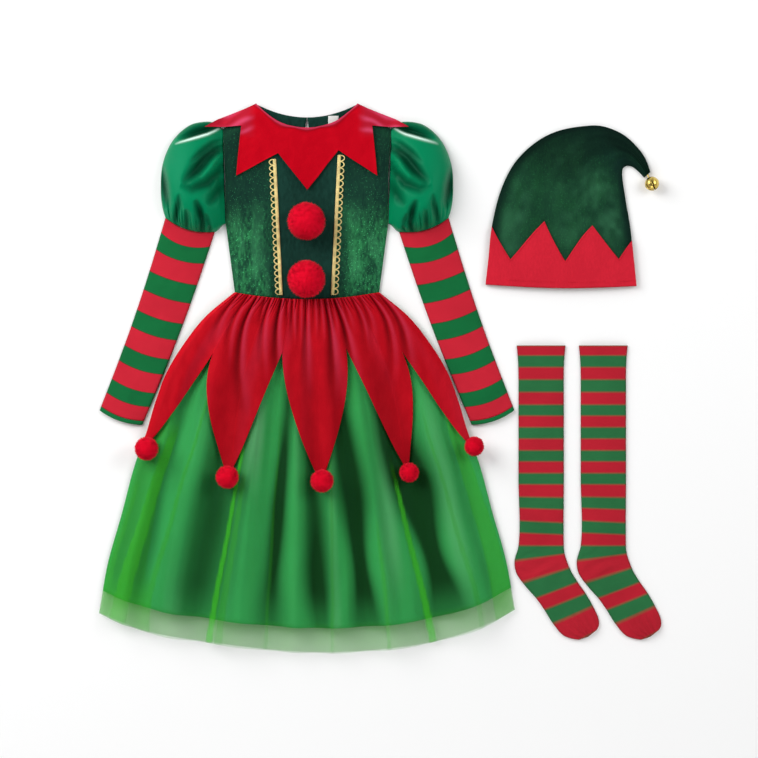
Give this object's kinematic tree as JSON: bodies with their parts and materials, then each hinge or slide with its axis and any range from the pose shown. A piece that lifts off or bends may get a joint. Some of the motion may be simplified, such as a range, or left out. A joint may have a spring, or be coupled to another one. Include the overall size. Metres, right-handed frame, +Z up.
{
  "type": "elf costume, a dress with a hat and stockings, laid flat",
  "caption": "Child's elf costume laid flat: a puff-sleeved dress with a pointed collar and petal overskirt, a curled hat with a bell, and striped stockings.",
  "frame": {"origin": "centre of the bounding box of the whole layout, on the surface it lies on", "axes": "+X to the viewer's right, +Y from the hem towards the neck, +Z up from the surface"},
  "size_m": [0.9546, 0.931, 0.0713],
  "materials": {
    "velvet_green": "crushed velvet with a fine glitter",
    "velvet_red": "short pile velvet",
    "satin_green": "glossy satin",
    "knit_striped": "fine jersey in red and green bands",
    "binding_green": "knit binding",
    "lining_green": "satin",
    "tulle_green": "sheer soft tulle",
    "plush_red": "plush",
    "gold_braid": "metallic gold braid",
    "label_white": "blank woven label",
    "hat_red": "brushed velour",
    "brass_bell": "polished"
  },
  "bodies": {
    "root": {"bodice_front_centre": "velvet_green", "bodice_front_side_left": "velvet_green", "bodice_front_side_right": "velvet_green", "bodice_back_left": "velvet_green", "bodice_back_right": "velvet_green", "neck_label": "label_white", "puff_left": "satin_green", "puff_right": "satin_green", "sleeve_left": "knit_striped", "cuff_left": "binding_green", "sleeve_right": "knit_striped", "cuff_right": "binding_green", "collar_front": "velvet_red", "collar_back_left": "velvet_red", "collar_back_right": "velvet_red", "trim_left": "gold_braid", "trim_right": "gold_braid", "button_pompom_upper": "plush_red", "button_pompom_lower": "plush_red", "lining_front_left": "lining_green", "lining_front_right": "lining_green", "lining_back": "lining_green", "tulle_front_left": "tulle_green", "tulle_front_right": "tulle_green", "tulle_back": "tulle_green", "overskirt_front": "velvet_red", "overskirt_back": "velvet_red", "petal_pompom_1": "plush_red", "petal_pompom_2": "plush_red", "petal_pompom_3": "plush_red", "petal_pompom_4": "plush_red", "petal_pompom_5": "plush_red", "hat_crown_front": "velvet_green", "hat_crown_back": "velvet_green", "hat_band_front": "hat_red", "hat_band_back": "hat_red", "bell": "brass_bell", "bell_pellet": "brass_bell", "stocking_left": "knit_striped", "stocking_right": "knit_striped"}
  },
  "joints": []
}
